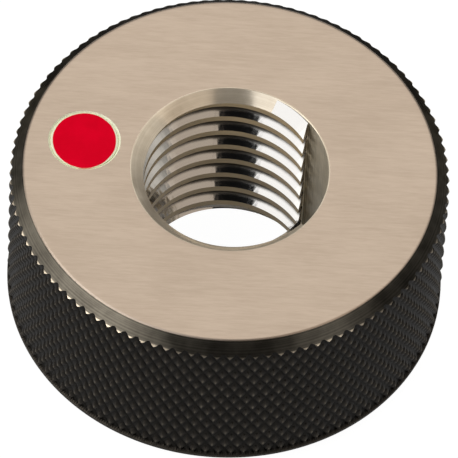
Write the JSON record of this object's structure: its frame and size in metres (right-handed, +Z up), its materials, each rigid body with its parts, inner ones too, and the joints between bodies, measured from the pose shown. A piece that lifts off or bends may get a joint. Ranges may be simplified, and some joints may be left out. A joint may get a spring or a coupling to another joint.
{
  "type": "thread ring gauge",
  "caption": "Solid steel not-go thread ring gauge: a short knurled ring with a right-hand internal thread, a chip groove and a red enamel mark.",
  "frame": {"origin": "centre of the bottom face", "axes": "+Z up along the thread's axis, +X towards the chip groove, the red mark on the -X side of the top face"},
  "size_m": [0.045, 0.045, 0.0208],
  "materials": {
    "ring_steel": "lapped faces and thread, black-oxide knurled rim",
    "red_enamel": "satin enamel"
  },
  "bodies": {
    "root": {"ring_body": "ring_steel", "red_mark": "red_enamel"}
  },
  "joints": []
}
